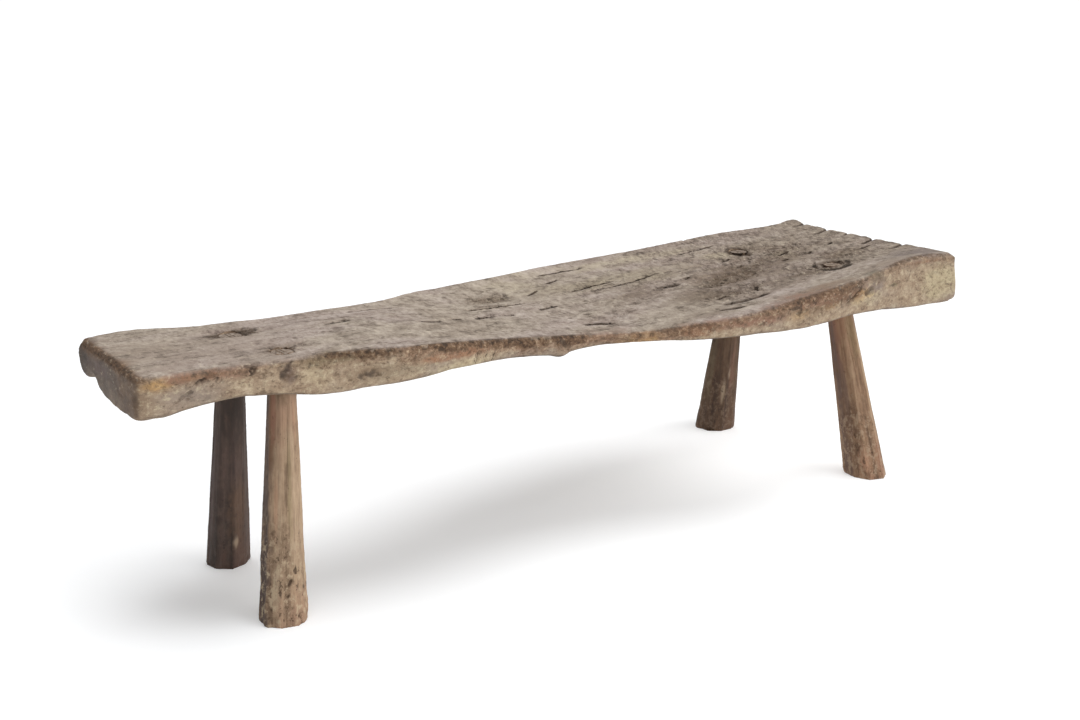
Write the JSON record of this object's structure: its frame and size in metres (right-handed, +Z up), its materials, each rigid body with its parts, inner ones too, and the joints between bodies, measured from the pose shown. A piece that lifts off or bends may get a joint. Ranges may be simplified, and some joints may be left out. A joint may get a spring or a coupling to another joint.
{
  "type": "staked bench",
  "caption": "Long low bench: one thick hewn plank with a narrow waist and a broad dished end, on raked tapering legs wedged through the seat.",
  "frame": {"origin": "the floor under the middle of the bench: the bottom centre of its box", "axes": "+X along the plank towards its broad end, -Y the front that the picture shows, +Z up"},
  "size_m": [1.7385, 0.5221, 0.4559],
  "materials": {
    "weathered_plank": "grey-brown weathered hardwood, checked and pitted, unfinished",
    "tan_leg_wood": "hewn tan-brown hardwood, dry, unfinished",
    "dark_leg_wood": "hewn dark brown hardwood, dry, unfinished",
    "wedge_wood": "dry hardwood worn flush, unfinished"
  },
  "bodies": {
    "root": {"slab": "weathered_plank", "leg_front_left": "tan_leg_wood", "leg_front_right": "tan_leg_wood", "leg_back_left": "dark_leg_wood", "leg_back_right": "dark_leg_wood", "wedge_front_left": "wedge_wood", "wedge_front_right": "wedge_wood", "wedge_back_left": "wedge_wood", "wedge_back_right": "wedge_wood"}
  },
  "joints": []
}
